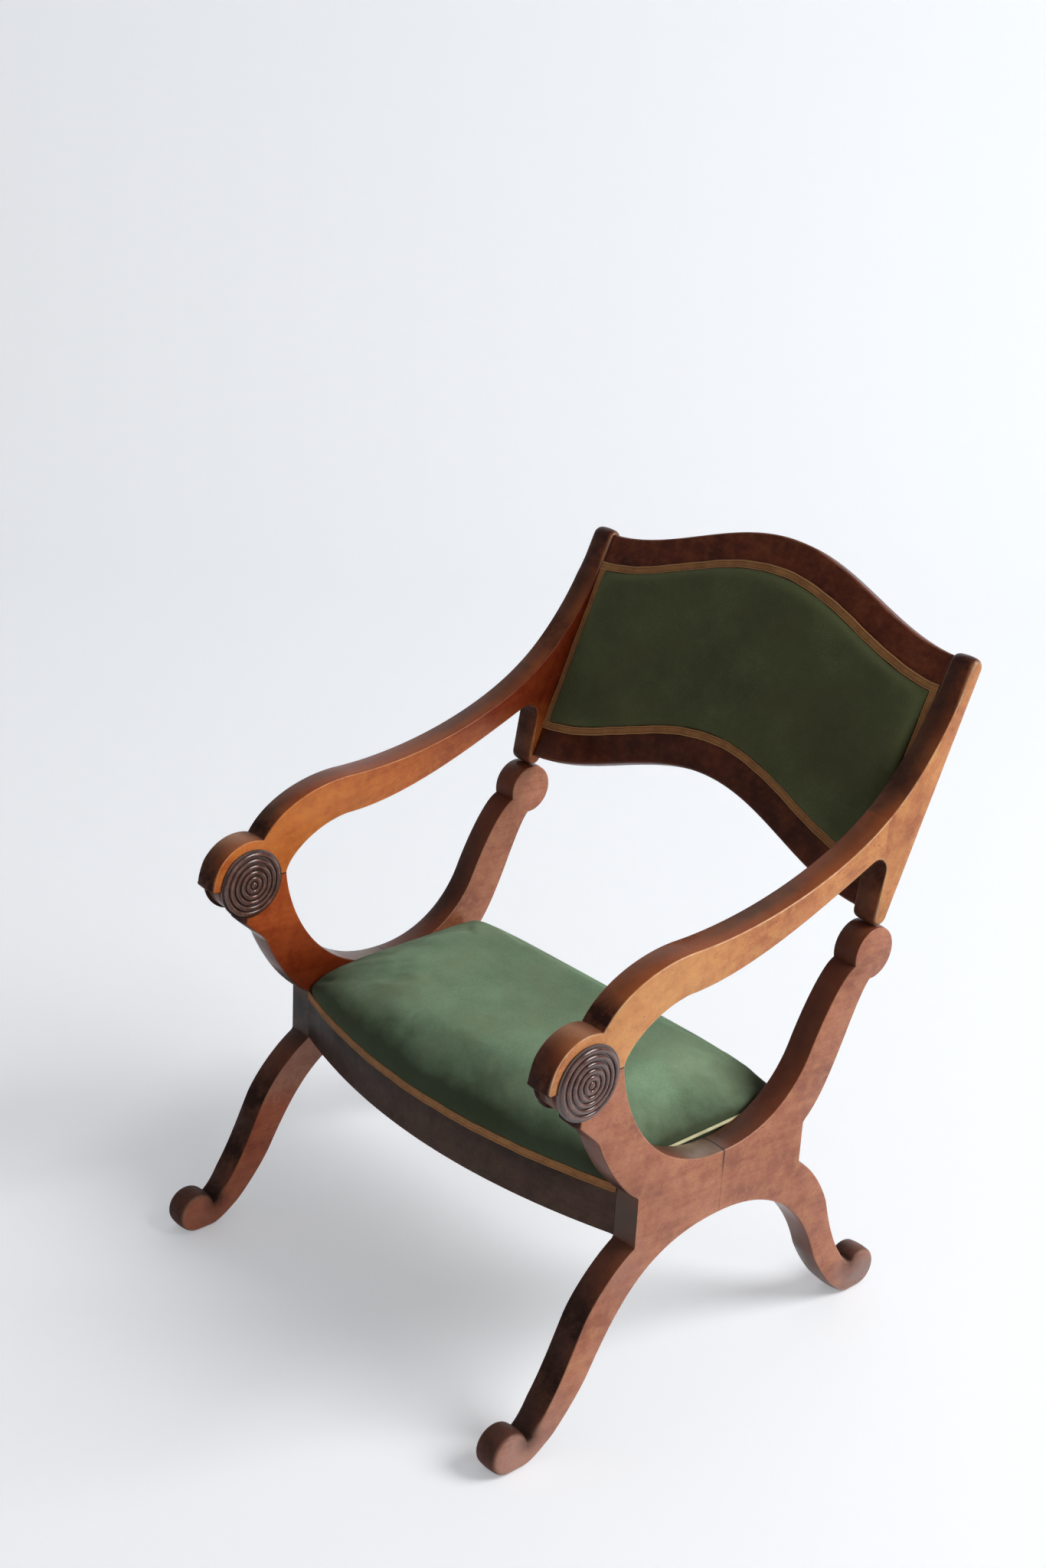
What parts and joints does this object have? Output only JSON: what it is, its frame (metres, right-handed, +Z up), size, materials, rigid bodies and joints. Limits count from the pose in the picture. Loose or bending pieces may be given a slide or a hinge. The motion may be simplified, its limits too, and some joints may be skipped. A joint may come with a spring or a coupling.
{
  "type": "convertible prie-dieu chair",
  "caption": "Low upholstered armchair of crossed sawn side frames; arms and arched back swing up and forward on knuckle joints at the arm scrolls to form a sloping elbow rest.",
  "frame": {"origin": "on the floor under the middle of the overall box, with the back down", "axes": "the chair faces -Y, +X is on the right when the chair is seen from the front, +Z is up"},
  "size_m": [0.637, 0.7154, 0.8586],
  "materials": {
    "polished_mahogany": "satin french polish, sawn boards with faint grain and small dark flecks",
    "dark_mahogany": "satin, dark stained",
    "turned_mahogany": "gloss polish on turned rings",
    "dowel_beech": "bare",
    "inner_beech": "bare, sawn",
    "screw_steel": "dull",
    "pin_steel": "dull",
    "jute_webbing": "woven strap",
    "hessian": "open plain weave",
    "green_cloth": "short pile, matt",
    "olive_cloth": "short pile, matt",
    "gold_braid": "woven gimp",
    "pale_piping": "covered cord"
  },
  "bodies": {
    "seat_frame": {"left_front_board": "polished_mahogany", "right_front_board": "polished_mahogany", "left_rear_board": "polished_mahogany", "right_rear_board": "polished_mahogany", "side_dowels": "dowel_beech", "front_rail": "dark_mahogany", "rear_rail": "dark_mahogany", "seat_rail_dowels": "dowel_beech", "left_seat_batten": "inner_beech", "right_seat_batten": "inner_beech", "batten_screws": "screw_steel", "corner_blocks": "inner_beech", "long_webbing": "jute_webbing", "cross_webbing": "jute_webbing", "seat_hessian": "hessian", "seat_pad": "green_cloth", "seat_front_braid": "gold_braid", "seat_rear_braid": "gold_braid", "seat_piping": "pale_piping"},
    "back_frame": {"left_arm": "polished_mahogany", "right_arm": "polished_mahogany", "left_stile": "polished_mahogany", "right_stile": "polished_mahogany", "arm_dowels": "dowel_beech", "crest_rail": "dark_mahogany", "lower_rail": "dark_mahogany", "back_rail_dowels": "dowel_beech", "back_fillets": "dark_mahogany", "back_webbing": "jute_webbing", "back_pad": "olive_cloth", "rear_pad": "olive_cloth", "back_front_braid": "gold_braid", "back_rear_braid": "gold_braid", "left_pivot_pin": "pin_steel", "right_pivot_pin": "pin_steel", "left_outer_roundel": "turned_mahogany", "left_inner_roundel": "turned_mahogany", "right_outer_roundel": "turned_mahogany", "right_inner_roundel": "turned_mahogany"}
  },
  "joints": [
    {"name": "back_swing", "type": "hinge", "parent": "seat_frame", "child": "back_frame", "pos_m": [0, -0.2557, 0.458], "axis": [1, 0, 0], "range_deg": [0, 82]}
  ]
}
